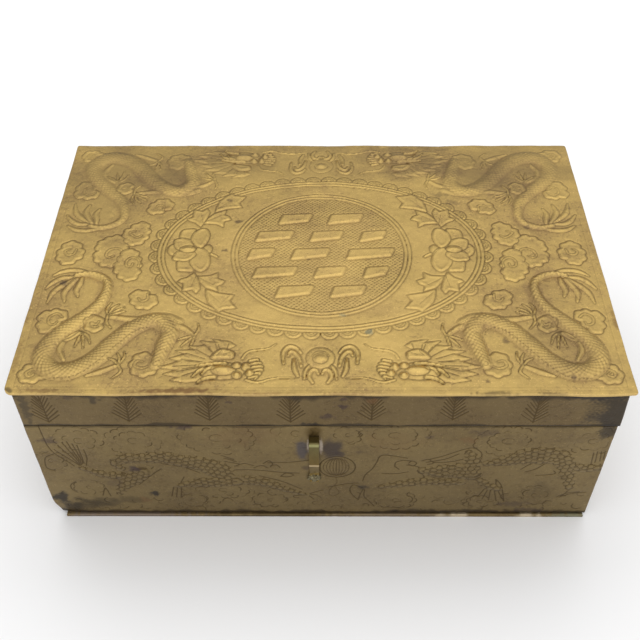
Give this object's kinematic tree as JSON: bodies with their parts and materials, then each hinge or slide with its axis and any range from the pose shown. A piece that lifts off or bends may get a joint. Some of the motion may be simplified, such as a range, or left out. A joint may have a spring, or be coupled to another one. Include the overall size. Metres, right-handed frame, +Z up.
{
  "type": "chased brass box",
  "caption": "Rectangular sheet-brass box with a shallow lift-off lid, dragons, clouds and peonies in relief round a medallion, and a staple on the front.",
  "frame": {"origin": "middle of the walls' rectangle, on the underside of the base plate", "axes": "+Z up, front with the staple towards -Y, +X to the right seen from the front"},
  "size_m": [0.24, 0.1584, 0.0914],
  "materials": {
    "lid_brass": "aged, golden brown, chased in relief",
    "wall_brass": "aged, olive brown, engraved, with dark stains",
    "staple_brass": "aged, brighter where worn, with pale solder"
  },
  "bodies": {
    "root": {"base_plate": "wall_brass", "body_wall": "wall_brass", "staple": "staple_brass", "lid_rim": "wall_brass", "lid_plate": "lid_brass"}
  },
  "joints": []
}
